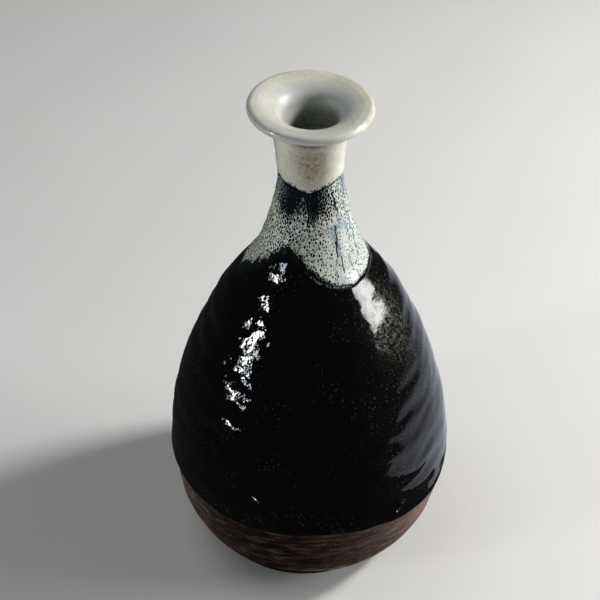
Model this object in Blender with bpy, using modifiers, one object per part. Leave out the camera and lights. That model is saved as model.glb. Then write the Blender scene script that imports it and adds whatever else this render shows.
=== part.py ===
"""Sake bottle (tokkuri): a thrown stoneware vessel under four fired glaze coats.

Metres, +Z up. The origin is the centre of the foot, on the surface that the bottle stands on.
Azimuths are in degrees about +Z: 0 faces -Y, the bottle's front, and +90 faces +X.
Section points are (radius, height) vectors.
"""
import math

import bmesh
import bpy
from mathutils import Vector

for old in list(bpy.data.objects):
    bpy.data.objects.remove(old, do_unlink=True)

MM = 0.001

# Driving dimensions
HEIGHT = 170.0 * MM
FOOT_RADIUS = 33.2 * MM
BELLY_RADIUS = 47.0 * MM
BELLY_Z = 34.0 * MM
WAIST_RADIUS = 9.55 * MM
WAIST_Z = 146.0 * MM
LIP_RADIUS = 18.5 * MM
LIP_ROUNDING = 1.25 * MM
THROAT_RADIUS = 5.6 * MM

# Walls, coats and clearances
COAT = 0.4 * MM                 # thickness of every fired glaze coat
GAP = 0.3 * MM                  # clearance between neighbouring solids
CLAY_DEPTH = COAT + GAP         # from the glazed surface down to the clay
BELLY_WALL = 4.4 * MM           # clay thickness in the belly
SHOULDER_WALL = 3.6 * MM        # clay thickness at the luted joint
WAIST_WALL = WAIST_RADIUS - THROAT_RADIUS - 2 * CLAY_DEPTH
FLOOR_Z = 7.0 * MM              # top of the clay floor
FLOOR_CORNER = 5.0 * MM         # radius of the cavity's lower corner
FOOT_RING_WIDTH = 5.5 * MM
FOOT_RECESS = 2.0 * MM          # hollow turned into the underside

# Heights where the clay sections and the coats meet
JOINT_Z = 116.0 * MM            # outer edge of the luted joint between shoulder and neck
JOINT_DROP = 1.2 * MM           # how far the joint's seat falls towards the inside
LINER_TOP_Z = 157.0 * MM        # the inner glaze meets the cream coat in the throat
BLACK_EDGE_Z = 36.6 * MM        # lower edge of the black coat, before its runs
SPECKLED_EDGE_Z = 114.2 * MM    # lower edge of the speckled coat, before its lobes
WHITE_EDGE_Z = 147.2 * MM       # lower edge of the cream coat, before its lobes

# Lobes of each glaze edge: azimuth of the middle, half width in degrees, rise (+) or run (-)
BLACK_LOBES = [
    (55, 20, -4.6 * MM),
    (128, 26, -1.8 * MM),
    (-145, 30, -3.2 * MM),
]
SPECKLED_LOBES = [
    (-28, 24, 11.2 * MM),
    (-96, 20, -4.4 * MM),
    (122, 22, 4.5 * MM),
    (172, 24, -4.0 * MM),
]
WHITE_LOBES = [
    (-4, 14, -0.8 * MM),
    (60, 18, 0.9 * MM),
    (-78, 20, 0.9 * MM),
    (150, 30, -1.2 * MM),
]

# The finished outline up the outside, from the foot to the flare under the lip
OUTSIDE = [
    (FOOT_RADIUS, 0.0),
    (37.6 * MM, 5.2 * MM),
    (43.4 * MM, 17.0 * MM),
    (BELLY_RADIUS, BELLY_Z),
    (45.0 * MM, 54.0 * MM),
    (39.6 * MM, 75.0 * MM),
    (31.9 * MM, 93.5 * MM),
    (27.2 * MM, 102.5 * MM),
    (20.3 * MM, 112.0 * MM),
    (17.6 * MM, JOINT_Z),
    (13.9 * MM, 126.0 * MM),
    (11.1 * MM, 136.0 * MM),
    (WAIST_RADIUS, WAIST_Z),
    (10.8 * MM, 156.0 * MM),
    (13.3 * MM, 163.6 * MM),
    (16.0 * MM, 167.2 * MM),
]

NECK_START = 7                  # the outline's point just below the luted joint

# The finished outline of the mouth, from behind the lip down the funnel to the throat
MOUTH = [
    (15.4 * MM, 169.8 * MM),
    (11.4 * MM, 168.3 * MM),
    (8.7 * MM, 165.6 * MM),
    (7.3 * MM, 160.0 * MM),
    (6.2 * MM, 152.0 * MM),
    (THROAT_RADIUS, WAIST_Z),
]

TURNING_STEPS = 36              # facets round every turned solid and coat
BODY_STEP = 9.5 * MM            # spacing of section points up the body
NECK_STEP = 5.0 * MM            # spacing of section points round the neck and mouth
FINE_STEP = 0.8 * MM            # spacing along the section that the coats are wrapped on
SMOOTH_ANGLE = math.radians(35)

bottle = bpy.data.collections.new("sake_bottle")


def smooth_line(points, step):
    """A Catmull-Rom curve through the points, sampled about one step apart."""
    knots = [Vector(point) for point in points]
    knots = [2 * knots[0] - knots[1]] + knots + [2 * knots[-1] - knots[-2]]
    line = []
    for a, b, c, d in zip(knots, knots[1:], knots[2:], knots[3:]):
        pieces = max(1, round((c - b).length / step))
        for i in range(pieces):
            t = i / pieces
            bend = (2 * a - 5 * b + 4 * c - d) * t ** 2 + (3 * b - a - 3 * c + d) * t ** 3
            line.append(0.5 * (2 * b + (c - a) * t + bend))
    line.append(knots[-2])
    return line


def offset_line(line, depths):
    """The line with each point moved to the left of its direction by its own depth."""
    moved = []
    for i, (point, depth) in enumerate(zip(line, depths)):
        along = line[min(i + 1, len(line) - 1)] - line[max(i - 1, 0)]
        moved.append(point + Vector((-along.y, along.x)).normalized() * depth)
    return moved


def above(line, z):
    """The part of a rising line above height z, starting exactly there."""
    for i, (a, b) in enumerate(zip(line, line[1:])):
        if a.y <= z < b.y:
            return [a.lerp(b, (z - a.y) / (b.y - a.y))] + line[i + 1:]
    return line


def below(line, z):
    """The part of a rising line below height z, ending exactly there."""
    for i, (a, b) in enumerate(zip(line, line[1:])):
        if a.y < z <= b.y:
            return line[:i + 1] + [a.lerp(b, (z - a.y) / (b.y - a.y))]
    return line


def lip_arc(radius):
    """The rolled lip's section, from its underside round the edge to its top."""
    centre = Vector((LIP_RADIUS - LIP_ROUNDING, HEIGHT - LIP_ROUNDING))
    start, end, steps = math.radians(-60), math.radians(90), 5
    arc = []
    for i in range(steps + 1):
        angle = start + (end - start) * i / steps
        arc.append(centre + radius * Vector((math.cos(angle), math.sin(angle))))
    return arc


def wall_at(z):
    """Clay thickness at a height: full in the belly, thinner up the shoulder and neck."""
    if z < JOINT_Z:
        share = max(0.0, (z - 60 * MM) / (JOINT_Z - 60 * MM))
        return BELLY_WALL + (SHOULDER_WALL - BELLY_WALL) * share
    share = min(1.0, (z - JOINT_Z) / (WAIST_Z - JOINT_Z))
    return SHOULDER_WALL + (WAIST_WALL - SHOULDER_WALL) * share


def clay_outside():
    """The clay's outside: bare from the foot up to the belly, then under the coats."""
    line = smooth_line(OUTSIDE, BODY_STEP)
    under_glaze = [min(1.0, max(0.0, (p.y - 20 * MM) / (BELLY_Z - 20 * MM))) for p in line]
    return offset_line(line, [CLAY_DEPTH * share for share in under_glaze])


def clay_inside(depth):
    """The inner wall from the floor's corner up to the waist, depth further into the cavity."""
    outside = below(clay_outside(), WAIST_Z)
    inside = offset_line(outside, [wall_at(p.y) + depth for p in outside])
    rising = above(inside, FLOOR_Z + FLOOR_CORNER)
    edge = rising[0].x
    floor = FLOOR_Z + depth
    toe = Vector((edge - 1.9 * FLOOR_CORNER, floor))
    heel = Vector((edge - 0.5 * FLOOR_CORNER, floor + 0.3 * FLOOR_CORNER))
    return [toe, heel] + rising


class Section:
    """The finished section as one line, measured along its length from the foot."""

    def __init__(self, points):
        self.points = points
        self.lengths = [0.0]
        for a, b in zip(points, points[1:]):
            self.lengths.append(self.lengths[-1] + (b - a).length)

    def at(self, length):
        for i, reach in enumerate(self.lengths[1:]):
            if length <= reach:
                share = (length - self.lengths[i]) / (reach - self.lengths[i])
                return self.points[i].lerp(self.points[i + 1], share)
        return self.points[-1]

    def rising_to(self, z):
        """Length where the outside first reaches height z."""
        for i, (a, b) in enumerate(zip(self.points, self.points[1:])):
            if a.y <= z <= b.y:
                share = (z - a.y) / (b.y - a.y)
                return self.lengths[i] + share * (self.lengths[i + 1] - self.lengths[i])
        raise ValueError("the outside does not reach that height")

    def falling_to(self, z):
        """Length where the mouth, past the lip, has fallen to height z."""
        for i in range(len(self.points) - 1, 0, -1):
            a, b = self.points[i - 1], self.points[i]
            if b.y <= z <= a.y:
                share = (a.y - z) / (a.y - b.y)
                return self.lengths[i - 1] + share * (self.lengths[i] - self.lengths[i - 1])
        raise ValueError("the mouth does not fall to that height")


def add_object(name, mesh, colour, roughness):
    """Puts a mesh in the bottle's collection with a material of its own."""
    part = bpy.data.objects.new(name, mesh)
    bottle.objects.link(part)
    material = bpy.data.materials.new(name)
    material.use_nodes = True
    shader = material.node_tree.nodes["Principled BSDF"]
    shader.inputs["Base Color"].default_value = (*colour, 1.0)
    shader.inputs["Roughness"].default_value = roughness
    shader.inputs["Metallic"].default_value = 0.0
    material.diffuse_color = (*colour, 1.0)
    mesh.materials.append(material)
    return part


def turned(name, profile, colour, roughness, ring=False):
    """A solid of revolution: the profile runs down its outer side, and a ring's is closed."""
    mesh = bpy.data.meshes.new(name)
    edges = [(i, i + 1) for i in range(len(profile) - 1)]
    if ring:
        edges.append((len(profile) - 1, 0))
    mesh.from_pydata([(point.x, 0.0, point.y) for point in profile], edges, [])
    part = add_object(name, mesh, colour, roughness)
    screw = part.modifiers.new("Turn", "SCREW")
    screw.steps = screw.render_steps = TURNING_STEPS
    screw.use_merge_vertices = True
    screw.merge_threshold = 0.00001
    return part


def coat(name, rows, length_at, colour, roughness):
    """A glaze coat: a grid wrapped on the finished section, then thickened inwards.

    length_at(azimuth, row) places each point along the section, row 0 being the lower edge.
    """
    shape = bmesh.new()
    bmesh.ops.create_grid(shape, x_segments=TURNING_STEPS, y_segments=rows, size=1.0)
    for vert in shape.verts:
        azimuth = 180.0 * vert.co.x
        row = round(rows * (0.5 + 0.5 * vert.co.y))
        point = glazed.at(length_at(azimuth, row))
        turn = math.radians(azimuth)
        vert.co = (point.x * math.sin(turn), -point.x * math.cos(turn), point.y)
    bmesh.ops.remove_doubles(shape, verts=shape.verts, dist=0.00001)
    mesh = bpy.data.meshes.new(name)
    shape.to_mesh(mesh)
    shape.free()
    mesh.shade_smooth()
    mesh.set_sharp_from_angle(angle=SMOOTH_ANGLE)
    part = add_object(name, mesh, colour, roughness)
    shell = part.modifiers.new("Thickness", "SOLIDIFY")
    shell.thickness = COAT
    shell.offset = -1.0
    shell.use_even_offset = True
    return part


def edge_length(base, lobes, azimuth):
    """Length along the section of a wavy glaze edge at an azimuth in degrees."""
    height = base
    for middle, half_width, rise in lobes:
        away = (azimuth - middle + 180) % 360 - 180
        height += rise * math.exp(-0.5 * (away / half_width) ** 2)
    return glazed.rising_to(height)


def clay_body():
    """Floor, belly and shoulder in one wall, open at the seat where the neck is luted on."""
    outside = below(clay_outside(), JOINT_Z)
    inside = below(clay_inside(0.0), JOINT_Z - JOINT_DROP)
    ring_inner = FOOT_RADIUS - FOOT_RING_WIDTH
    foot = [
        Vector((ring_inner, 0.0)),
        Vector((ring_inner - FOOT_RECESS, FOOT_RECESS)),
        Vector((0.0, FOOT_RECESS)),
    ]
    profile = [Vector((0.0, FLOOR_Z))] + inside + outside[::-1] + foot
    return turned("clay_body", profile, (0.16, 0.10, 0.07), 0.85)


def clay_neck():
    """The collared neck and flared mouth, from the luted joint up round the lip and back down."""
    line = smooth_line(OUTSIDE[NECK_START:], NECK_STEP)
    outside = above(offset_line(line, [CLAY_DEPTH] * len(line)), JOINT_Z + GAP)
    mouth = smooth_line(MOUTH, NECK_STEP)
    funnel = offset_line(mouth, [CLAY_DEPTH] * len(mouth))
    inside = above(clay_inside(0.0), JOINT_Z - JOINT_DROP + GAP)
    loop = outside + lip_arc(LIP_ROUNDING - CLAY_DEPTH) + funnel[:-1] + inside[::-1]
    return turned("clay_neck", loop[::-1], (0.18, 0.12, 0.09), 0.85, ring=True)


def liner_glaze():
    """The inner coat over the floor, the cavity's wall and the throat."""
    mouth = smooth_line(MOUTH, NECK_STEP)[::-1]
    throat = below(mouth, LINER_TOP_Z)[1:]
    under_throat = [p + Vector((COAT, 0.0)) for p in throat]
    skin = clay_inside(GAP + COAT)[:-1] + [mouth[0]] + throat
    back = clay_inside(GAP)[:-1] + [mouth[0] + Vector((COAT, 0.0))] + under_throat
    floor = FLOOR_Z + GAP
    profile = [Vector((0.0, floor + COAT))] + skin + back[::-1] + [Vector((0.0, floor))]
    return turned("liner_glaze", profile, (0.30, 0.33, 0.27), 0.25)


def black_glaze():
    """The glossy black coat, from its running edge above the foot to the speckled coat."""
    rows = 10

    def length_at(azimuth, row):
        low = edge_length(BLACK_EDGE_Z, BLACK_LOBES, azimuth)
        high = edge_length(SPECKLED_EDGE_Z, SPECKLED_LOBES, azimuth) - GAP
        return low + (high - low) * row / rows

    return coat("black_glaze", rows, length_at, (0.006, 0.006, 0.008), 0.08)


def speckled_glaze():
    """The pale ash coat over the shoulder's top and the neck."""
    rows = 5

    def length_at(azimuth, row):
        low = edge_length(SPECKLED_EDGE_Z, SPECKLED_LOBES, azimuth)
        high = edge_length(WHITE_EDGE_Z, WHITE_LOBES, azimuth) - GAP
        return low + (high - low) * row / rows

    return coat("speckled_glaze", rows, length_at, (0.45, 0.46, 0.42), 0.2)


def white_glaze():
    """The cream coat over the collar, the lip and the mouth's funnel."""
    start = glazed.rising_to(WHITE_EDGE_Z + 3 * MM)
    lip_lengths = [glazed.lengths[glazed.points.index(point)] for point in lip]
    end = glazed.falling_to(LINER_TOP_Z + GAP)
    steps = 6
    lengths = [start + (lip_lengths[0] - start) * i / steps for i in range(steps)]
    lengths += lip_lengths
    lengths += [lip_lengths[-1] + (end - lip_lengths[-1]) * i / steps for i in range(1, steps + 1)]

    def length_at(azimuth, row):
        if row == 0:
            return edge_length(WHITE_EDGE_Z, WHITE_LOBES, azimuth)
        return lengths[row - 1]

    return coat("white_glaze", len(lengths), length_at, (0.66, 0.62, 0.52), 0.25)


bpy.context.scene.collection.children.link(bottle)
lip = lip_arc(LIP_ROUNDING)
glazed = Section(smooth_line(OUTSIDE, FINE_STEP) + lip + smooth_line(MOUTH, FINE_STEP))
clay_body()
clay_neck()
liner_glaze()
black_glaze()
speckled_glaze()
white_glaze()
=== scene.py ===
"""Looks for the sake bottle: each clay section and glaze coat as a fine, hand-thrown surface.

Section sizes are in millimetres and meshes in metres. Azimuths are in degrees about +Z from the
bottle's front (-Y), positive towards +X. A length is measured along the finished section, up the
outside from the foot, over the lip and down the throat.
"""
import math

import bpy
import numpy as np
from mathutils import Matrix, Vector, noise


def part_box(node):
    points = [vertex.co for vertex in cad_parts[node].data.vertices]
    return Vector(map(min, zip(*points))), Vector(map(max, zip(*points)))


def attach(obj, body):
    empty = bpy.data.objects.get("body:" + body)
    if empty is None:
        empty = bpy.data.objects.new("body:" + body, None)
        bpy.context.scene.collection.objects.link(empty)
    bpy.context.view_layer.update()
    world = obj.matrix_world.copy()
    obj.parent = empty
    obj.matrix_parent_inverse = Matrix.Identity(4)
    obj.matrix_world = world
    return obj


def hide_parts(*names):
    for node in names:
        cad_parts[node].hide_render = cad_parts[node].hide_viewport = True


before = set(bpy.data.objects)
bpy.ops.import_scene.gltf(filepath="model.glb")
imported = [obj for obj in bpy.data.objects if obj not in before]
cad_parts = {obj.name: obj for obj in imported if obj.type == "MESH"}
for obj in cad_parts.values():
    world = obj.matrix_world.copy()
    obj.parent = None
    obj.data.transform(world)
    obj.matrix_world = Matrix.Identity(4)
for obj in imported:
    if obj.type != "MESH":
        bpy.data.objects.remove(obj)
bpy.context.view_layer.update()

MM = 0.001

# ---------------------------------------------------------------- sizes
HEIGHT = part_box("white_glaze")[1].z / MM
LIP_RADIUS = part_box("white_glaze")[1].x / MM
JOINT_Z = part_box("clay_body")[1].z / MM
LINER_TOP_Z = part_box("liner_glaze")[1].z / MM

CLAY_DEPTH = 0.8                # glazed surface to clay
COAT = 0.4                      # a glaze coat's thickness at its back
GAP = 0.3                       # left where two sections' boundary is fused
WALL = 4.4                      # the clay wall at the belly
WALL_THINNING = 0.8             # lost from the wall by the joint
BELLY_TOP_Z = 60.0              # above this the wall thins
LIP_ROUNDING = 1.5
ARRIS_RADIUS = 36.2             # the turned edge above the foot ring
ARRIS_Z = 4.8
ARRIS_LIFT = 1.9                # how far that edge rides up at the front
LIFT_OUTWARDS = 0.42            # its move outwards, as a share of the lift
FOOT_RADIUS = 32.8
FOOT_RING_WIDTH = 5.5
FOOT_RECESS = 2.0
FOOT_SHIFT = -1.8               # the foot ring was cut off centre, along X
FLOOR_Z = 7.0
FLOOR_CORNER = 5.0
CAVITY_LOW_Z = 16.0             # the cavity follows the outside from here
CAVITY_TOP_Z = 111.0            # up to here, where the throat begins
CLAY_SHOWN_Z = 42.0             # no clay shows above this
MOUTH_TILT = 0.027              # slope of the mouth, falling towards +X

# The finished outline, (radius, height), from the arris up to the flare under the lip
OUTSIDE = [
    (ARRIS_RADIUS, ARRIS_Z), (38.3, 7.6), (43.3, 17.0), (46.9, 34.0), (45.2, 54.0), (39.7, 75.0),
    (31.9, 93.5), (27.3, 102.3), (20.2, 112.0), (17.4, 116.3), (13.9, 126.0), (11.1, 136.0),
    (9.6, 146.0), (10.5, 155.5), (11.5, 161.5), (12.5, 165.0), (14.2, 166.6),
]
# The mouth from behind the lip, down the throat and into the cavity
MOUTH = [
    (15.2, 169.8), (12.3, 168.8), (9.9, 167.4), (8.6, 165.7), (8.0, 163.2), (7.4, 159.5), (6.3, 152.0),
    (5.6, 146.0), (7.2, 134.0), (10.5, 120.0), (13.2, 114.0),
]

# Glaze edges: height, then lobes as (azimuth of the middle, half width in degrees, rise)
BLACK_EDGE = (36.8, [(55, 20, -4.9), (128, 26, -1.8), (-145, 30, -3.2)])
SPECKLED_EDGE = (114.2, [(-28, 24, 11.2), (-96, 20, -4.4), (122, 22, 4.5), (172, 24, -4.0)])
WHITE_EDGE = (147.0, [(-6, 16, -1.2), (60, 18, 0.7), (-78, 20, 0.9), (150, 30, -1.2)])

# Small blisters in the black glaze near its edge: azimuth, height, half width, half height, rise
BLISTERS = [
    (-19, 49.6, 2.2, 0.75, 1.5), (-14.5, 50.8, 1.3, 0.55, 1.0),
    (36, 38.2, 1.4, 0.65, 1.35), (38.8, 40.6, 1.1, 0.58, 1.05),
]

# Runs in the ash glaze, each a line of (azimuth, height) with its half width
DARK_RUNS = [
    ([(37.6, 133.0), (36.9, 128.4), (33.4, 123.5)], 0.22),
    ([(38.5, 123.2), (38.6, 118.2)], 0.16),
    ([(39.0, 144.0), (41.0, 141.0), (48.0, 137.0)], 0.20),
    ([(71.0, 148.0), (73.0, 141.0)], 0.20),
    ([(-6.0, 144.0), (-3.0, 134.5)], 0.20),
    ([(-20.0, 145.0), (-19.0, 137.5)], 0.16),
    ([(10.0, 144.0), (12.0, 136.0)], 0.17),
]

BLUE_RUNS = [
    ([(57.0, 132.0), (58.5, 127.0), (57.7, 122.0)], 0.40),
    ([(50.0, 122.0), (53.0, 115.0)], 0.35),
    ([(31.0, 122.5), (27.0, 117.0)], 0.40),
    ([(44.0, 139.0), (46.0, 133.0)], 0.50),
    ([(66.0, 138.0), (68.0, 126.0), (66.0, 119.0)], 0.40),
    ([(34.0, 131.0), (38.0, 124.0)], 0.50),
]

# Blue hazes in the ash glaze, as (azimuth, height, half width in degrees, half height, strength)
HAZES = [
    (40, 132.3, 12, 1.1, 0.9), (36, 121, 5, 6, 0.25),
    (-80, 145.5, 16, 2.2, 0.8), (76, 144.5, 12, 3, 0.7),
]

# The throat's grey-green glaze, which the cream coat joins: its darker and lighter tones
THROAT_TONES = (0.10, 0.125, 0.095), (0.27, 0.30, 0.24)

SIDES = 360                     # columns round every turned surface
azimuths = np.arange(SIDES) * 360.0 / SIDES - 180.0


# ---------------------------------------------------------------- section
def smooth_line(points, step):
    """A Catmull-Rom curve through (radius, height) points, sampled about one step apart."""
    p = np.array(points, float)
    p = np.vstack([2 * p[0] - p[1], p, 2 * p[-1] - p[-2]])
    line = []
    for a, b, c, d in zip(p, p[1:], p[2:], p[3:]):
        pieces = max(2, round(float(np.linalg.norm(c - b)) / step))
        t = (np.arange(pieces) / pieces)[:, None]
        bend = (2 * a - 5 * b + 4 * c - d) * t ** 2 + (3 * b - a - 3 * c + d) * t ** 3
        line.append(0.5 * (2 * b + (c - a) * t + bend))
    line.append(p[-2][None])
    return np.vstack(line)


def lengths_of(line):
    """Length from the line's start to each of its points."""
    return np.concatenate([[0], np.cumsum(np.linalg.norm(np.diff(line, axis=0), axis=1))])


def resampled(line, step):
    """The line with its points one step apart."""
    lengths = lengths_of(line)
    even = np.linspace(0, lengths[-1], round(lengths[-1] / step) + 1)
    return np.column_stack([np.interp(even, lengths, line[:, i]) for i in (0, 1)])


def softened(line, width, step):
    """The evenly spaced line with its bends eased over a width and its ends kept."""
    reach = round(3 * width / step)
    kernel = np.exp(-0.5 * (np.arange(-reach, reach + 1) * step / width) ** 2)
    kernel /= kernel.sum()
    columns = []
    for values in line.T:
        head = 2 * values[0] - values[reach:0:-1]
        tail = 2 * values[-1] - values[-2:-reach - 2:-1]
        columns.append(np.convolve(np.concatenate([head, values, tail]), kernel, "valid"))
    return np.column_stack(columns)


class Section:
    """The finished section, by length along it."""

    def __init__(self, step=0.1):
        outside = softened(resampled(smooth_line(OUTSIDE, 0.2), step), 1.5, step)
        mouth = softened(resampled(smooth_line(MOUTH, 0.2), step), 0.6, step)
        centre = np.array([LIP_RADIUS - LIP_ROUNDING, HEIGHT - LIP_ROUNDING])
        angle = np.radians(np.linspace(-92, 98, 28))
        lip = centre + LIP_ROUNDING * np.column_stack([np.cos(angle), np.sin(angle)])
        line = resampled(np.vstack([outside, lip, mouth]), step)
        self.points = softened(line, 0.3, step)
        self.lengths = lengths_of(self.points)
        along = np.gradient(self.points, axis=0)
        along /= np.linalg.norm(along, axis=1)[:, None]
        self.normals = np.column_stack([along[:, 1], -along[:, 0]])
        self.top = int(np.argmax(self.points[:, 1]))

    def at(self, lengths):
        """Radius, height, and the outward normal's two parts."""
        columns = (*self.points.T, *self.normals.T)
        return [np.interp(lengths, self.lengths, column) for column in columns]

    def rising_to(self, z):
        """Length where the outside reaches heights z."""
        return np.interp(z, self.points[:self.top, 1], self.lengths[:self.top])

    def falling_to(self, z):
        """Length where the mouth has fallen to heights z."""
        return np.interp(-np.asarray(z, float), -self.points[self.top:, 1], self.lengths[self.top:])


section = Section()


# ---------------------------------------------------------------- fields over the surface
def all_round(shape):
    """The azimuth of every point in a grid."""
    return np.broadcast_to(azimuths, shape)


def away(azimuth, middle):
    """Degrees from the middle, between -180 and 180."""
    return (azimuth - middle + 180) % 360 - 180


def band(x, middle, half_width):
    """A smooth rise to 1 at the middle."""
    return np.exp(-0.5 * ((x - middle) / half_width) ** 2)


def hump(azimuth, middle, half_width):
    """A band up the pot, by azimuth."""
    return band(away(azimuth, middle), 0, half_width)


def lobed(edge, azimuth):
    """Height of a glaze edge at azimuths."""
    base, lobes = edge
    return base + sum(rise * hump(azimuth, middle, width) for middle, width, rise in lobes)


def ease(low, high, x):
    """0 below low, 1 above high, with a smooth step between."""
    t = np.clip((np.asarray(x, float) - low) / (high - low), 0, 1)
    return t * t * (3 - 2 * t)


def grain(x, y, z, size, seed):
    """Random relief between about -1 and 1; size is a lump's width in x, y and z."""
    places = np.column_stack([(x / size[0]).ravel() + seed, (y / size[1]).ravel(),
                              (z / size[2]).ravel()])
    values = [noise.noise(place) for place in places.tolist()]
    return 1.7 * np.array(values).reshape(np.shape(x))


def around(azimuth, radius):
    """X and Y of a point at a radius from the axis."""
    turn = np.radians(azimuth)
    return radius * np.sin(turn), -radius * np.cos(turn)


def ripple(azimuth, count, seed):
    """Smooth random waves round the pot, about count of them."""
    x, y = around(azimuth, count / 6.0)
    return grain(x, y, np.full_like(x, seed), (1, 1, 1), seed)


def relief(azimuth, radius, z):
    """How far the thrown wall swells outwards, in millimetres."""
    x, y = around(azimuth, radius)
    body = ease(4, 14, z) * (1 - ease(106, 122, z))
    fine = ease(4, 14, z) * (1 - ease(117, 128, z))
    neck = ease(114, 126, z) * (1 - ease(150, 158, z))
    turn = np.radians(azimuth)
    dents = 0.42 * grain(x, y, z, (34, 34, 26), 3.1) + 0.10 * grain(x, y, z, (15, 15, 9), 7.7)
    swing = turn + 0.9 * grain(x, y, z, (30, 30, 30), 11.3)
    rings = np.sin(2 * math.pi * z / 8.4 + swing) * (0.55 + 0.6 * grain(x, y, z, (18, 18, 14), 19.9))
    strokes = grain(x, y, z - 0.4 * x, (9, 9, 4.2), 23.7)
    lumps = grain(x, y, z, (4.2, 4.2, 3.4), 31.3)
    pebbles = grain(x, y, z - 0.3 * x, (1.9, 1.9, 1.4), 37.9)
    drips = hump(azimuth, -48, 30) * ease(44, 66, z)
    loose = drips * (1 - 0.4 * ease(101, 108, z))
    calm = 1 - 0.8 * hump(azimuth, 44, 20) * ease(78, 92, z)
    thrown = body * (dents + 0.14 * rings * calm)
    wiped = fine * ((0.085 * calm + 0.08 * drips) * strokes + (0.03 + 0.09 * loose) * lumps
                    + (0.006 + 0.06 * loose) * pebbles)
    collared = neck * (0.05 * np.sin(2 * math.pi * z / 5.5 + turn)
                       + 0.09 * grain(x, y, z, (7, 7, 9), 41.1))
    return thrown + wiped + collared


def placed(azimuth, radius, z, side=0.0):
    """Points in metres, with the tilt of the mouth and, by side, the foot's shift along X."""
    x, y = around(azimuth, radius)
    tilt = ease(150, 170, z) * -MOUTH_TILT * x
    return np.stack([x + side, y, z + tilt], axis=-1) * MM


def raised(azimuth, lengths, rise):
    """Points a given rise off the finished section, with the thrown relief on the outside."""
    radius, z, normal_r, normal_z = section.at(lengths)
    outside = lengths <= section.lengths[section.top]
    rise = rise + relief(azimuth, radius, z) * outside
    return placed(azimuth, radius + normal_r * rise, z + normal_z * rise)


def run_mark(azimuth, radius, z, runs, seed):
    """How strongly each point lies on one of the runs, between 0 and 1."""
    wander = 0.35 * grain(*around(azimuth, radius), z, (2.5, 2.5, 2.5), seed)
    mark = np.zeros_like(z)
    for line, half_width in runs:
        for (a0, z0), (a1, z1) in zip(line, line[1:]):
            across = np.radians(away(azimuth, a0)) * radius + wander
            step = np.radians(a1 - a0) * radius
            drop = z - z0
            share = np.clip((across * step + drop * (z1 - z0)) / (step ** 2 + (z1 - z0) ** 2), 0, 1)
            reach = np.hypot(across - share * step, drop - share * (z1 - z0))
            mark = np.maximum(mark, band(reach, 0, half_width))
    return mark


def blisters(azimuth, radius, z):
    """Rise of the blisters above the black glaze."""
    rise = np.zeros_like(z)
    for middle, height, half_width, half_height, most in BLISTERS:
        across = np.radians(away(azimuth, middle)) * radius / half_width
        rise += most * np.exp(-0.5 * (across ** 2 + ((z - height) / half_height) ** 2))
    return rise


def haze(azimuth, z):
    """How blue the ash glaze is where it runs thin, between 0 and 1."""
    return sum(strength * hump(azimuth, middle, width) * band(z, height, half_height)
               for middle, height, width, half_height, strength in HAZES)


# ---------------------------------------------------------------- meshes
def make_piece(name, points, node, material, marks, ring=True):
    """A closed mesh from rows of points round the pot.

    A ring's last row joins its first; otherwise the first and last rows close at the axis.
    """
    rows = len(points)
    verts = points.reshape(-1, 3)
    row, column = np.meshgrid(np.arange(rows if ring else rows - 1), np.arange(SIDES), indexing="ij")
    low, high = row * SIDES, (row + 1) % rows * SIDES
    beside = (column + 1) % SIDES
    faces = np.stack([low + column, low + beside, high + beside, high + column], -1)
    faces = faces.reshape(-1, 4).tolist()
    if not ring:
        last = (rows - 1) * SIDES
        pole = len(verts)
        verts = np.vstack([verts, points[0].mean(0), points[-1].mean(0)])
        for j in range(SIDES):
            k = (j + 1) % SIDES
            faces.append((pole, k, j))
            faces.append((pole + 1, last + j, last + k))
    mesh = bpy.data.meshes.new(name)
    mesh.from_pydata(verts.tolist(), [], faces)
    for key, values in marks.items():
        flat = np.zeros(len(verts), np.float32)
        flat[:values.size] = values.ravel()
        mesh.attributes.new(key, "FLOAT", "POINT").data.foreach_set("value", flat)
    mesh.shade_smooth()
    mesh.materials.append(material)
    piece = bpy.data.objects.new(name, mesh)
    bpy.context.scene.collection.objects.link(piece)
    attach(piece, "root")
    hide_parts(node)
    return piece


def rows_between(low, high, rows):
    """Lengths from one edge to the other, a row for each share of the way."""
    return low[None] + (high - low)[None] * np.linspace(0, 1, rows)[:, None]


# Lengths up from a coat's lower edge where its bead has rows
BEAD_STEPS = np.array([0, 0.03, 0.1, 0.2, 0.34, 0.5, 0.7, 0.9, 1.15, 1.4, 1.7, 2.0, 2.35, 2.7, 3.1])


def coat_rows(low, high, rows):
    """Lengths over a coat's face, closer together over the bead at its lower edge."""
    start = low + BEAD_STEPS[-1] + 0.4
    return np.vstack([low[None] + BEAD_STEPS[:, None], rows_between(start, high, rows)])


def beaded(reach, sink, swell, roll, relax):
    """A coat's rise: from sunk at its edge, round a rolled bead, then down to flush."""
    t = np.clip(reach / roll, 0, 1)
    edge = -sink + (sink + swell) * np.sqrt(np.clip(1 - (1 - t) ** 2, 0, 1))
    return np.where(reach < roll, edge, swell * (1 - ease(roll, relax, reach)))


def make_coat(name, node, material, face, rise, depth, back_rows, marks):
    """A glaze coat: its beaded face, then its back a depth below the finished surface."""
    back = rows_between(face[-1], face[0], back_rows)
    points = np.vstack([
        raised(all_round(face.shape), face, rise),
        raised(all_round(back.shape), back, np.full(back.shape, -depth)),
    ])
    return make_piece(name, points, node, material, marks)


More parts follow.
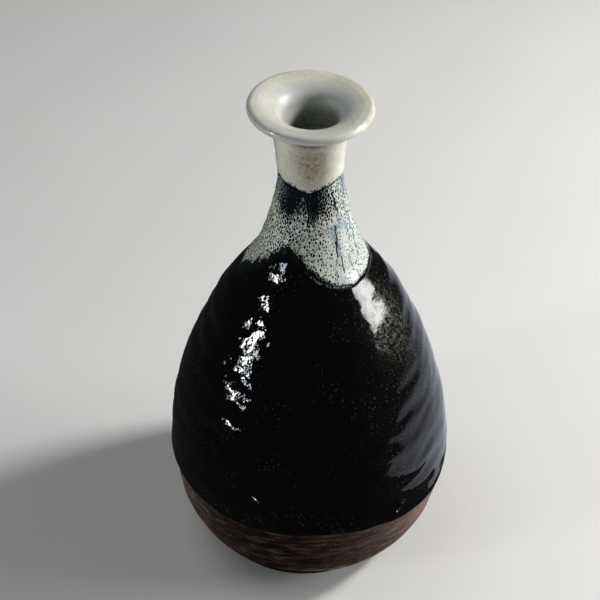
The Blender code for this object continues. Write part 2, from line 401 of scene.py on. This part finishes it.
def make_black_glaze(material):
    edge = lobed(BLACK_EDGE, azimuths)
    edge = edge + 0.5 * ripple(azimuths, 9, 2.5) + 0.22 * ripple(azimuths, 45, 8.5)
    under_ash = 5.0
    low = section.rising_to(edge)
    high = section.rising_to(lobed(SPECKLED_EDGE, azimuths) + under_ash)
    face = coat_rows(low, high, 220)
    azimuth = all_round(face.shape)
    radius, z = section.at(face)[:2]
    bead = beaded(face - low, sink=CLAY_DEPTH, swell=0.28, roll=1.1, relax=8.0)
    marks = {
        "drips": hump(azimuth, -48, 30) * ease(40, 60, z),
        "grainy": hump(azimuth, 74, 24) * ease(30, 50, z),
        "olive": hump(azimuth, 62, 9) * band(z, 99, 6.5),
        "veil": hump(azimuth, 58, 12) * band(z, 101, 9),
    }
    return make_coat("black_glaze_coat", "black_glaze", material,
                     face, bead + blisters(azimuth, radius, z), CLAY_DEPTH, 22, marks)


def ash_darkness(azimuth, z, reach):
    """How far the ash glaze has broken into black: 0.5 is specks and 2 is solid.

    reach is the length up from the coat's visible edge.
    """
    dark = 0.50 + 0.09 * ripple(azimuth, 14, 9.5)
    streaks = ripple(azimuth, 26, 21.5)
    ragged = z + 2.5 * ripple(azimuth, 12, 12.5) + 1.4 * streaks
    zone = ease(134.5, 141.5, ragged) * (1 - 0.75 * ease(30, 60, azimuth))
    zone = zone * (0.5 + 0.5 * ease(-95, -50, azimuth))
    dark = dark + (0.46 + 0.18 * hump(azimuth, 4, 20) + 0.13 * streaks) * zone
    dark = dark - 0.60 * hump(azimuth, 46, 27) * (1 - 0.65 * ease(124, 140, z))
    lace = 1.0 + 2.8 * (1 - ease(0, 35, np.abs(away(azimuth, -36)) - 38))
    ragged_edge = 1.5 * ripple(azimuth, 70, 25.5) * hump(azimuth, -68, 32)
    fringe = 1 - ease(-0.25, 1, (reach - ragged_edge) / lace)
    dark = dark + 0.95 * fringe
    return np.maximum(dark, 2.0 * (1 - ease(-0.5, -0.1, reach)))


def make_speckled_glaze(material):
    edge = lobed(SPECKLED_EDGE, azimuths)
    edge = edge + 0.35 * ripple(azimuths, 10, 4.5) + 0.2 * ripple(azimuths, 40, 6.5)
    black_hem, under_cream = 1.7, 4.0
    shown = section.rising_to(edge)
    low = shown - black_hem
    high = section.rising_to(np.full(SIDES, WHITE_EDGE[0] + under_cream))
    face = coat_rows(low, high, 130)
    azimuth = all_round(face.shape)
    radius, z = section.at(face)[:2]
    swell = 0.20 + 0.28 * hump(azimuths, 42, 30)
    rise = beaded(face - low, sink=0.1, swell=swell, roll=1.4, relax=8.0)
    rise = rise + 0.08 * ease(4, 10, face - low)
    reach = face - shown
    marks = {
        "dark": ash_darkness(azimuth, z, reach),
        "run": run_mark(azimuth, radius, z, DARK_RUNS, 51.5),
        "blue": run_mark(azimuth, radius, z, BLUE_RUNS, 57.5),
        "haze": haze(azimuth, z),
        "rim": band(reach, -0.9, 0.22) * ease(0.3, 0.7, hump(azimuth, 18, 16)),
        "olive": band(np.hypot(away(azimuth, -16) * 0.25, z - 129), 0, 0.9),
    }
    return make_coat("speckled_glaze_coat", "speckled_glaze", material,
                     face, rise, 0.5, 12, marks)


def cream_marks(azimuth, face, radius, z, reach):
    """Where the cream glaze is stained, thin or grey, with painted shade under the lip and on the
    lip's front and funnel, and paler painted light on the funnel's lit left wall; reach is the length
    up from its edge.
    """
    top = section.lengths[section.top]
    inside = face > top
    # the funnel's left wall, lit by the key: its grey and the throat grey are held back there, painted
    # light
    left = hump(azimuth, -90, 45)
    # painted shade: a dark line under the lip where it shades the collar, partly brown stain
    under_lip_shade_and_stain = hump(azimuth, 0, 22) * band(z, 162.9, 0.6) * ~inside
    left_rim = hump(azimuth, -56, 24) * band(face - top, -1.35, 0.28)
    # a bluish grey funnel glaze, paler on the lit left wall: partly glaze colour, partly painted light
    # and shade
    funnel_grey_and_shade = inside * (1 - ease(10.5, 15.5, radius)) * (1 - 0.6 * left)
    # painted shade: the lip's top greyer towards the front, where less light falls
    lip_painted_shade = 0.6 * ease(166, 168, z) * hump(azimuth, -25, 55)
    return {
        "dark": 1.25 * (1 - ease(0.2, 2.3, reach)),
        "clean": ease(1.0, 3.0, reach),
        "brown": 0.95 * (hump(azimuth, 2, 22) * band(z, 156, 6.5) * ~inside),
        "edge": 0.85 * under_lip_shade_and_stain + 0.85 * left_rim,
        "warm": hump(azimuth, 0, 42) * band(radius, 10.7, 0.8) * inside,
        "funnel": inside * (1 - ease(13.5, 15.5, radius)),
        "deep": inside * (1 - ease(161.5 - 6 * left, 166.4 - 5 * left, z)),
        "grey_and_shade": np.maximum(funnel_grey_and_shade, lip_painted_shade),
    }


def make_white_glaze(material):
    edge = lobed(WHITE_EDGE, azimuths)
    edge = edge + 0.5 * ripple(azimuths, 12, 14.5) + 0.35 * ripple(azimuths, 40, 16.5)
    hem = 1.0
    low = section.rising_to(edge) - hem
    high = np.full(SIDES, float(section.falling_to(LINER_TOP_Z)))
    face = coat_rows(low, high, 150)
    azimuth = all_round(face.shape)
    radius, z = section.at(face)[:2]
    reach = face - low
    rise = beaded(reach, sink=0.1, swell=0.22, roll=2.4, relax=9.0)
    rise = rise + 0.08 * (1 - ease(2, 8, reach))
    rise = rise - 0.35 * ease(1.2, 0, high[0] - face)
    marks = cream_marks(azimuth, face, radius, z, reach)
    return make_coat("white_glaze_coat", "white_glaze", material, face, rise, COAT, 20, marks)


def cavity_line():
    """The cavity's wall as the liner shows it, up from the floor's corner, as (radius, height)."""
    past_top = 1.0
    low, high = section.rising_to(CAVITY_LOW_Z), section.rising_to(CAVITY_TOP_Z + past_top)
    radius, z, normal_r, normal_z = section.at(np.linspace(low, high, 60))
    thinned = np.clip((z - BELLY_TOP_Z) / (JOINT_Z - BELLY_TOP_Z), 0, 1)
    wall = WALL - WALL_THINNING * thinned + CLAY_DEPTH + COAT + GAP
    wall_line = np.column_stack([radius - normal_r * wall, z - normal_z * wall])
    edge = wall_line[0, 0]
    floor = [(2.0, FLOOR_Z), (edge * 0.5, FLOOR_Z), (edge - 1.9 * FLOOR_CORNER, FLOOR_Z),
             (edge - 0.5 * FLOOR_CORNER, FLOOR_Z + 0.3 * FLOOR_CORNER)]
    line = smooth_line(np.vstack([floor, wall_line]), 1.5)
    return line[line[:, 1] < CAVITY_TOP_Z]


def turned_points(profile):
    """A grid of points round the pot from (radius, height) rows."""
    radius = np.broadcast_to(profile[:, :1], (len(profile), SIDES))
    z = np.broadcast_to(profile[:, 1:2], radius.shape)
    return placed(all_round(radius.shape), radius, z)


def offset(line, depth):
    """The line moved towards its left by a depth."""
    along = np.gradient(line, axis=0)
    along /= np.linalg.norm(along, axis=1)[:, None]
    return line + depth * np.column_stack([-along[:, 1], along[:, 0]])


def make_liner_glaze(material):
    under_cream = 1.0
    cavity = cavity_line()
    throat = np.linspace(section.falling_to(LINER_TOP_Z) - under_cream, section.lengths[-1], 70)
    shown = np.column_stack(section.at(throat)[:2])
    shown[:, 0] += 0.25 * ease(1.6, 0.6, throat - throat[0])
    face = np.vstack([shown, cavity[::-1]])
    back = offset(face, COAT)[::-1]
    back[0] = (2.0, FLOOR_Z - COAT)
    profile = np.vstack([back, face])
    return make_piece("liner_glaze_coat", turned_points(profile), "liner_glaze",
                      material, {}, ring=False)


def make_clay_neck(material):
    lengths = np.linspace(section.rising_to(JOINT_Z + GAP), section.lengths[-1], 150)
    grid = np.tile(lengths[:, None], (1, SIDES))
    points = raised(all_round(grid.shape), grid, np.full(grid.shape, -CLAY_DEPTH))
    return make_piece("clay_neck_core", points, "clay_neck", material, {})


def foot_line():
    """The foot's section from its recessed middle, round the ring and out to the arris."""
    ring_inside = FOOT_RADIUS - FOOT_RING_WIDTH
    line = smooth_line([
        (2.0, FOOT_RECESS), (12.0, FOOT_RECESS - 0.1), (20.0, FOOT_RECESS),
        (ring_inside - 1.6, FOOT_RECESS - 0.1), (ring_inside - 0.4, 0.5),
        (ring_inside + 0.4, 0.0), (ring_inside + 2.0, 0.0), (FOOT_RADIUS - 1.6, 0.0),
        (FOOT_RADIUS - 0.5, 0.0), (FOOT_RADIUS - 0.1, 0.35), (FOOT_RADIUS, 1.0),
        (FOOT_RADIUS - 0.1, 1.8), (FOOT_RADIUS + 0.1, 2.4), (FOOT_RADIUS + 0.6, 2.9),
        (ARRIS_RADIUS - 1.5, 3.5), (ARRIS_RADIUS - 0.5, 4.1),
    ], 0.45)[:-1]
    line[:, 1] = np.maximum(line[:, 1], 0)
    return line


def foot_points():
    """The foot's underside and ring, lifted at the front and cut off centre."""
    line = np.tile(foot_line()[:, None], (1, SIDES, 1))
    radius, z = line[..., 0], line[..., 1]
    lift = ease(2.0, 4.4, z) * (ARRIS_LIFT * hump(azimuths, 5, 45))[None]
    side = FOOT_SHIFT * (1 - ease(2.4, 4.4, z))
    return placed(all_round(z.shape), radius + LIFT_OUTWARDS * lift, z + lift, side)


def clay_marks(azimuth, radius, z, chips):
    """Where the bare clay is chipped or rubbed pale, with a painted highlight along the arris; painted
    light on its right and far left, with a pale line under the glaze; and painted shade, darker
    towards the foot, on the underside and at the front.
    """
    x, y = around(azimuth, radius)
    # a pale rubbed line along the arris, partly a painted highlight on that edge
    worn_and_highlit = ease(-0.3, 0.5, grain(x, y, z, (3.6, 3.6, 1.6), 77.3)) * hump(azimuth, 24, 18)
    under_glaze = band(z - lobed(BLACK_EDGE, azimuth), -1.2, 0.6)
    # painted light: the clay's right side, where the window lamp falls, painted paler
    painted_light_and_glaze_line = hump(azimuth, 78, 34) * ease(6, 16, z)
    # a pale line just under the black glaze, strongest on the right
    painted_light_and_glaze_line = np.maximum(painted_light_and_glaze_line, 0.55 * under_glaze * (0.35 + 0.65 * hump(azimuth, 60, 40)))
    # painted light: the far left, where the left lamps fall, painted paler
    painted_light_and_glaze_line = np.maximum(painted_light_and_glaze_line, 0.35 * hump(azimuth, -72, 14))
    # painted shade: darker towards the foot and at the front, less on the lit right and far left
    painted_shade = np.maximum(1 - ease(4, 17, z), hump(azimuth, -14, 36))
    painted_shade = painted_shade * (1 - 0.7 * hump(azimuth, 75, 30)) * (1 - 0.4 * hump(azimuth, -75, 18))
    return {
        "chip_and_highlight": np.maximum(0.5 * chips, worn_and_highlit * band(z - ARRIS_Z, 5.2, 1.7)),
        "painted_light_and_glaze_line": painted_light_and_glaze_line,
        "painted_shade": painted_shade,
    }


def make_clay_body(material):
    row_step = 0.26
    glazed_z = CLAY_SHOWN_Z + 0.6
    shown = np.arange(0.05, float(section.rising_to(CLAY_SHOWN_Z)), row_step)
    hidden = np.linspace(float(section.rising_to(glazed_z)), float(section.rising_to(JOINT_Z)), 26)
    grid = np.tile(np.concatenate([shown, hidden])[:, None], (1, SIDES))
    azimuth = all_round(grid.shape)
    radius, z, normal_r, normal_z = section.at(grid)
    x, y = around(azimuth, radius)
    lines = grain(0.1 * x, 0.1 * y, z + 0.03 * x, (9, 9, 0.8), 61.7)
    tool = grain(x, y, z, (16, 16, 1.1), 67.3)
    chips = ease(0.25, 0.8, grain(x, y, z, (3.4, 3.4, 1.6), 71.9))
    chips = chips * (1 - ease(0.4, 2.6, z - ARRIS_Z))
    rise = -CLAY_DEPTH * np.clip((z - 20) / 12, 0, 1)
    rise = rise + relief(azimuth, radius, z) - 0.45 * chips + (0.05 * lines + 0.07 * tool)
    lift = (1 - ease(0, 12, z - ARRIS_Z)) * (ARRIS_LIFT * hump(azimuths, 5, 45))
    shell = placed(azimuth, radius + normal_r * rise + LIFT_OUTWARDS * lift,
                   z + normal_z * rise + lift)
    base = foot_points()
    inner = offset(cavity_line(), -(COAT + GAP))
    inner[0] = (2.0, FLOOR_Z - COAT - GAP)
    points = np.vstack([base, shell, turned_points(inner[::-1])])
    inside = np.zeros((len(inner), SIDES))
    marks = {}
    for name, values in clay_marks(azimuth, radius, z, chips).items():
        # the foot's underside takes the full painted shade
        underside = np.full((len(base), SIDES), 1.0 if name == "painted_shade" else 0.0)
        marks[name] = np.vstack([underside, values, inside])
    return make_piece("clay_body_wall", points, "clay_body", material, marks,
                      ring=False)


# ---------------------------------------------------------------- materials
class Tree:
    """A node material on one Principled shader."""

    def __init__(self, name, **shader_values):
        self.material = bpy.data.materials.new(name)
        self.material.use_nodes = True
        self.tree = self.material.node_tree
        self.shader = self.tree.nodes["Principled BSDF"]
        for key, value in shader_values.items():
            self.shader.inputs[key.replace("_", " ")].default_value = value
        self.place = self.add("TexCoord").outputs["Object"]

    def put(self, socket, value):
        if isinstance(value, bpy.types.NodeSocket):
            self.tree.links.new(value, socket)
        elif isinstance(value, tuple) and len(value) == 3 and socket.type == "RGBA":
            socket.default_value = (*value, 1.0)
        else:
            socket.default_value = value

    def add(self, kind, inputs=None, **settings):
        node = self.tree.nodes.new("ShaderNode" + kind)
        for key, value in settings.items():
            setattr(node, key, value)
        for key, value in (inputs or {}).items():
            self.put(node.inputs[key], value)
        return node

    def mark(self, name):
        """A vertex mark as a number."""
        return self.add("Attribute", attribute_name=name).outputs["Fac"]

    def math(self, operation, a, b=0.0, c=0.0):
        return self.add("Math", {0: a, 1: b, 2: c}, operation=operation).outputs[0]

    def times(self, a, b):
        return self.math("MULTIPLY", a, b)

    def plus(self, a, b):
        return self.math("ADD", a, b)

    def times_plus(self, a, b, c):
        return self.math("MULTIPLY_ADD", a, b, c)

    def scaled(self, x, y, z, place=None):
        """A place, by default the one in the object, in millimetres times x, y and z."""
        scale = (x / MM, y / MM, z / MM)
        return self.add("Mapping", {"Vector": place or self.place, "Scale": scale}).outputs[0]

    def slanted(self, degrees, x, y, z):
        """The place turned about X, then scaled."""
        turned = self.add("VectorRotate", {"Vector": self.place, "Angle": math.radians(degrees)},
                          rotation_type="X_AXIS").outputs[0]
        return self.scaled(x, y, z, turned)

    def spots(self, scale):
        """Distance from the nearest of many scattered points, 0 at its middle."""
        values = {"Vector": self.scaled(1, 1, 1), "Scale": scale}
        return self.add("TexVoronoi", values).outputs["Distance"]

    def noise(self, scale, detail=2.0, place=None, rough=0.5):
        """Noise of a scale in waves per millimetre."""
        if place is None:
            place = self.scaled(1, 1, 1)
        values = {"Vector": place, "Scale": scale, "Detail": detail, "Roughness": rough}
        return self.add("TexNoise", values).outputs[0]

    def step(self, value, low, high, out_low=0.0, out_high=1.0):
        """A smooth step of the value from low to high."""
        values = {0: value, 1: low, 2: high, 3: out_low, 4: out_high}
        return self.add("MapRange", values, interpolation_type="SMOOTHSTEP").outputs[0]

    def mix(self, share, a, b):
        """A blend of two colours."""
        node = self.add("Mix", data_type="RGBA")
        colours = [s for s in node.inputs if s.type == "RGBA"]
        self.put(node.inputs[0], share)
        self.put(colours[0], a)
        self.put(colours[1], b)
        return node.outputs[2]

    def finish(self, colour, roughness=None, height=None, strength=0.3, distance=0.1):
        """Links the look to the shader. The bump's distance is in millimetres."""
        self.put(self.shader.inputs["Base Color"], colour)
        if roughness is not None:
            self.put(self.shader.inputs["Roughness"], roughness)
        if height is not None:
            values = {"Strength": strength, "Distance": distance * MM, "Height": height}
            bump = self.add("Bump", values)
            self.put(self.shader.inputs["Normal"], bump.outputs[0])
        return self.material


def black_glaze_material():
    t = Tree("black_tenmoku_glaze", IOR=1.5)
    crystals = t.step(t.spots(0.9), 0.20, 0.10)
    patch = t.plus(t.step(t.noise(0.08, 4), 0.50, 0.64, 0.0, 0.5), t.times(t.mark("grainy"), 0.6))
    crystals = t.times(crystals, patch)
    colour = t.mix(t.noise(0.2, 4), (0.0012, 0.0012, 0.0016), (0.0036, 0.0032, 0.0028))
    colour = t.mix(crystals, colour, (0.16, 0.155, 0.14))
    swept = t.slanted(40, 1.5, 0.7, 2.3)
    dust = t.times(t.step(t.noise(1.0, 5, swept, 0.8), 0.54, 0.70), t.mark("grainy"))
    colour = t.mix(dust, colour, (0.026, 0.026, 0.028))
    olive = t.times(t.step(t.noise(0.9, 5, rough=0.75), 0.48, 0.60), t.mark("olive"))
    colour = t.mix(olive, colour, (0.11, 0.105, 0.080))
    return t.finish(colour, black_glaze_roughness(t, crystals), black_glaze_height(t), 0.35, 0.06)


def black_glaze_roughness(t, crystals):
    """Glossy, most of all over the drips on the left, and duller in the veil and on crystals."""
    roughness = t.step(t.noise(0.5, 4), 0.35, 0.75, 0.05, 0.12)
    roughness = t.times_plus(t.mark("drips"), -0.035, roughness)
    veil = t.times(t.step(t.noise(0.5, 5, rough=0.75), 0.44, 0.60), t.mark("veil"))
    roughness = t.times_plus(veil, 0.20, roughness)
    return t.plus(roughness, t.times(crystals, 0.25))


def black_glaze_height(t):
    """Orange peel with pinholes, lumpier over the drips on the left and grainier on the right."""
    coarse = t.times(t.noise(0.42, 1), t.times(t.mark("drips"), 4.0))
    fine = t.times(t.noise(1.3, 2), t.times(t.mark("grainy"), 1.5))
    broken = t.times(t.noise(1.25, 0), t.times(t.mark("drips"), 1.9))
    peel = t.plus(t.noise(0.55, 3), t.plus(coarse, t.plus(fine, broken)))
    pits = t.step(t.spots(0.28), 0.0, 0.09)
    return t.plus(peel, t.times(pits, 0.8))


def warped_cells(t):
    """How far each point lies inside the dark middle of a cell; the dark mark widens these."""
    place = t.scaled(1, 1, 0.55)
    warp = t.add("TexNoise", {"Vector": place, "Scale": 1.3, "Detail": 2.0}).outputs["Color"]
    warp = t.add("VectorMath", {0: warp, 1: (0.5, 0.5, 0.5)}, operation="SUBTRACT").outputs[0]
    shift = t.add("VectorMath", {0: warp, "Scale": 0.6}, operation="SCALE").outputs[0]
    place = t.add("VectorMath", {0: place, 1: shift}, operation="ADD").outputs[0]
    cells = t.add("TexVoronoi", {"Vector": place, "Scale": 1.4, "Randomness": 0.9},
                  feature="DISTANCE_TO_EDGE").outputs["Distance"]
    cells = t.times_plus(t.noise(1.7, 2), -0.26, t.plus(cells, 0.13))
    level = t.times_plus(t.mark("dark"), -0.27, 0.265)
    return t.math("SUBTRACT", cells, level)


def speckles(t):
    """The ash glaze's colour and how dark it is, from the marks of its coat."""
    depth = warped_cells(t)
    halo = t.step(depth, -0.05, 0.01)
    core = t.step(depth, -0.01, 0.04)
    cream = t.mix(t.noise(0.25, 3), (0.55, 0.595, 0.535), (0.665, 0.71, 0.64))
    cream = t.mix(t.step(t.noise(0.11, 3), 0.50, 0.66, 0.0, 0.7), cream, (0.64, 0.62, 0.46))
    cream = t.mix(t.times(t.mark("olive"), 0.6), cream, (0.20, 0.17, 0.08))
    blue = t.times(t.mark("blue"), t.step(t.noise(0.9, 2), 0.3, 0.6))
    cream = t.mix(blue, cream, (0.17, 0.25, 0.34))
    colour = t.mix(halo, cream, (0.20, 0.235, 0.25))
    colour = t.mix(core, colour, (0.004, 0.005, 0.006))
    hazy = t.times(t.mark("haze"), t.step(t.noise(0.8, 3), 0.32, 0.55))
    colour = t.mix(hazy, colour, (0.17, 0.245, 0.34))
    run = t.step(t.plus(t.mark("run"), t.times(t.noise(1.1, 2), 0.35)), 0.5, 0.8)
    colour = t.mix(run, colour, (0.006, 0.010, 0.017))
    rim = t.times(t.mark("rim"), t.step(t.noise(1.3, 1), 0.46, 0.60))
    colour = t.mix(rim, colour, (0.34, 0.37, 0.35))
    return colour, core


def speckled_glaze_material():
    t = Tree("speckled_ash_glaze", IOR=1.5)
    colour, core = speckles(t)
    roughness = t.step(core, 0, 1, 0.20, 0.09)
    height = t.math("SUBTRACT", t.times(t.noise(0.8, 3), 0.8), core)
    return t.finish(colour, roughness, height, 0.35, 0.08)


def throat_grey(t):
    """The throat glaze's colour, the same on the cream coat's lower end and on the liner."""
    return t.mix(t.noise(0.9, 4), *THROAT_TONES)


def cream_colour(t):
    """Mottled cream with brown specks and stains, a painted shade line under the lip, and a cooler and
    greyer funnel; that grey also paints shade on the lip's front and is held back on the funnel's lit
    left wall as painted light.
    """
    mottle = t.times_plus(t.noise(1.5, 3), 0.55, t.times(t.noise(0.16, 4), 0.6))
    cream = t.mix(t.step(mottle, 0.35, 0.80), (0.54, 0.53, 0.445), (0.78, 0.77, 0.65))
    specks = t.step(t.spots(0.5), 0.12, 0.05)
    cream = t.mix(t.times(specks, 0.6), cream, (0.16, 0.12, 0.08))
    blush = t.times(t.mark("brown"), t.step(t.noise(0.9, 4), 0.2, 0.75, 0.5, 1.0))
    cream = t.mix(blush, cream, (0.20, 0.155, 0.075))
    # brown stain on the lip's rim, with the painted shade line under the lip
    edge = t.times(t.mark("edge"), t.step(t.noise(1.0, 3), 0.3, 0.55, 0.3, 1.0))
    cream = t.mix(edge, cream, (0.085, 0.058, 0.036))
    # the funnel's bluish grey glaze, and the painted shade on the lip's front
    cream = t.mix(t.mark("grey_and_shade"), cream, (0.50, 0.535, 0.535))
    cream = t.mix(t.times(t.mark("warm"), 0.85), cream, (0.60, 0.40, 0.17))
    return t.mix(t.mark("deep"), cream, throat_grey(t))


def white_glaze_material():
    t = Tree("cream_glaze", IOR=1.5)
    net = speckles(t)[0]
    cream = cream_colour(t)
    colour = t.mix(t.mark("clean"), net, cream)
    roughness = t.step(t.noise(0.3, 4), 0.3, 0.7, 0.07, 0.17)
    roughness = t.times_plus(t.mark("funnel"), 0.24, roughness)
    return t.finish(colour, roughness, t.noise(0.7, 4), 0.2, 0.06)


def liner_glaze_material():
    t = Tree("inner_glaze", IOR=1.5)
    grey = throat_grey(t)
    roughness = t.step(t.noise(0.3, 4), 0.3, 0.7, 0.22, 0.36)
    return t.finish(grey, roughness, t.noise(0.8, 3), 0.3, 0.1)


def bare_clay_material():
    t = Tree("bare_stoneware", Specular_IOR_Level=0.08)
    tone = t.noise(0.07, 6, rough=0.65)
    sweeps = t.noise(0.75, 7, t.slanted(7, 0.16, 0.16, 1.0), 0.75)
    lines = t.noise(2.3, 6, t.scaled(0.12, 0.12, 1.0), 0.75)
    grit = t.noise(1.9, 4, rough=0.7)
    colour = t.mix(t.step(tone, 0.3, 0.7), (0.022, 0.010, 0.007), (0.080, 0.040, 0.027))
    colour = t.mix(t.step(sweeps, 0.53, 0.62, 0, 0.8), colour, (0.145, 0.092, 0.070))
    colour = t.mix(t.step(sweeps, 0.45, 0.37, 0, 0.8), colour, (0.010, 0.005, 0.0035))
    colour = t.mix(t.times(t.step(lines, 0.57, 0.62), 0.7), colour, (0.25, 0.18, 0.145))
    colour = t.mix(t.times(t.step(lines, 0.43, 0.38), 0.7), colour, (0.010, 0.005, 0.003))
    colour = t.mix(t.step(grit, 0.56, 0.62, 0, 0.8), colour, (0.29, 0.22, 0.18))
    colour = t.mix(t.step(grit, 0.44, 0.38, 0, 0.8), colour, (0.010, 0.006, 0.004))
    # painted light: the clay's lit sides, and the line under the glaze, painted paler
    pale = t.times(t.mark("painted_light_and_glaze_line"), t.step(sweeps, 0.35, 0.65, 0.35, 0.72))
    colour = t.mix(pale, colour, (0.42, 0.29, 0.24))
    # painted shade: the clay darkened towards the foot, on the underside and at the front
    painted_shade = t.times(t.mark("painted_shade"), t.step(sweeps, 0.62, 0.44, 0.55, 1.0))
    colour = t.mix(painted_shade, colour, (0.006, 0.0035, 0.0025))
    # chipped clay, and the arris line that is partly a painted highlight
    colour = t.mix(t.mark("chip_and_highlight"), colour, (0.42, 0.31, 0.22))
    roughness = t.step(tone, 0.3, 0.7, 0.72, 0.9)
    height = t.plus(t.times(t.plus(lines, sweeps), 1.5), grit)
    return t.finish(colour, roughness, height, 0.9, 0.25)


def floor_material():
    t = Tree("pale_floor", Roughness=0.75)
    return t.finish(t.mix(t.noise(0.01, 3), (0.70, 0.70, 0.695), (0.76, 0.76, 0.755)))


# ---------------------------------------------------------------- stage
def add_floor():
    mesh = bpy.data.meshes.new("floor")
    half = 3.0
    mesh.from_pydata([(-half, -half, 0), (half, -half, 0), (half, half, 0), (-half, half, 0)],
                     [], [(0, 1, 2, 3)])
    mesh.materials.append(floor_material())
    floor = bpy.data.objects.new("floor", mesh)
    bpy.context.scene.collection.objects.link(floor)
    floor.visible_glossy = False


def add_area(name, size, power, colour, spread):
    """An area light that the camera can't see; its caller places and aims it."""
    light = bpy.data.lights.new(name, "AREA")
    light.shape = "RECTANGLE"
    light.size, light.size_y = size
    light.energy = power
    light.color = colour
    light.spread = math.radians(spread)
    lamp = bpy.data.objects.new(name, light)
    lamp.visible_camera = False
    bpy.context.scene.collection.objects.link(lamp)
    return lamp


def add_softbox(name, azimuth, elevation, distance, size, power, colour, spread=180):
    """An area light aimed at the bottle's shoulder; a narrow spread keeps it off the floor."""
    turn, climb = math.radians(azimuth), math.radians(elevation)
    target = Vector((0, 0, 0.095))
    towards = Vector((math.sin(turn) * math.cos(climb), -math.cos(turn) * math.cos(climb),
                      math.sin(climb)))
    lamp = add_area(name, size, power, colour, spread)
    lamp.location = target + towards * distance
    lamp.rotation_euler = (-towards).to_track_quat("-Z", "Y").to_euler()


def add_low_card():
    """A dim card lying behind the bottle's right, facing up, for the grey sheen on that side."""
    turn, distance = math.radians(118), 0.215
    lamp = add_area("low_card", (0.28, 0.30), 0.16, (0.82, 0.88, 1.0), 152)
    lamp.location = (distance * math.sin(turn), -distance * math.cos(turn), 0.003)
    lamp.rotation_euler = (math.pi, 0, turn)


def add_overhead():
    """A wide soft light from above, which keeps the floor even."""
    light = bpy.data.lights.new("overhead", "SUN")
    light.energy = 0.5
    light.angle = math.radians(40)
    lamp = bpy.data.objects.new("overhead", light)
    lamp.rotation_euler = (math.radians(-8), math.radians(-20), 0)
    bpy.context.scene.collection.objects.link(lamp)


def add_world():
    """A dim studio whose wall is seen as a pale grey."""
    world = bpy.data.worlds.new("studio")
    world.use_nodes = True
    tree = world.node_tree
    background = tree.nodes["Background"]
    background.inputs["Color"].default_value = (0.86, 0.90, 0.94, 1.0)
    seen = tree.nodes.new("ShaderNodeLightPath").outputs["Is Camera Ray"]
    strength = tree.nodes.new("ShaderNodeMapRange")
    strength.inputs["To Min"].default_value = 0.025
    strength.inputs["To Max"].default_value = 0.30
    tree.links.new(seen, strength.inputs["Value"])
    tree.links.new(strength.outputs["Result"], background.inputs["Strength"])
    bpy.context.scene.world = world


def add_camera():
    tilt, distance = math.radians(40.7), 0.46
    target = Vector((-0.0031, 0.0, 0.096))
    lens = bpy.data.cameras.new("camera")
    lens.lens = 87.0
    camera = bpy.data.objects.new("camera", lens)
    camera.location = target + distance * Vector((0, -math.cos(tilt), math.sin(tilt)))
    camera.rotation_euler = (math.pi / 2 - tilt, 0, 0)
    bpy.context.scene.collection.objects.link(camera)
    bpy.context.scene.camera = camera


make_black_glaze(black_glaze_material())
make_speckled_glaze(speckled_glaze_material())
make_white_glaze(white_glaze_material())
make_liner_glaze(liner_glaze_material())
clay = bare_clay_material()
make_clay_neck(clay)
make_clay_body(clay)

add_floor()
add_world()
add_softbox("key", 104, 36, 0.90, (0.15, 0.15), 7.3, (1.0, 0.985, 0.96))
add_softbox("window", 90, 13, 0.85, (0.44, 0.215), 1.12, (1.0, 0.995, 0.98), spread=90)
add_softbox("left_card", -66, 10, 1.00, (0.11, 0.32), 0.36, (0.97, 0.99, 1.0), spread=60)
add_softbox("left_cool_card", -57, 2, 1.00, (0.04, 0.20), 0.42, (0.78, 0.89, 1.0))
add_softbox("left_warm_card", -74, 3, 1.00, (0.03, 0.22), 0.26, (1.0, 0.91, 0.80))
add_overhead()
add_low_card()
add_camera()
bpy.context.scene.view_settings.view_transform = "Standard"
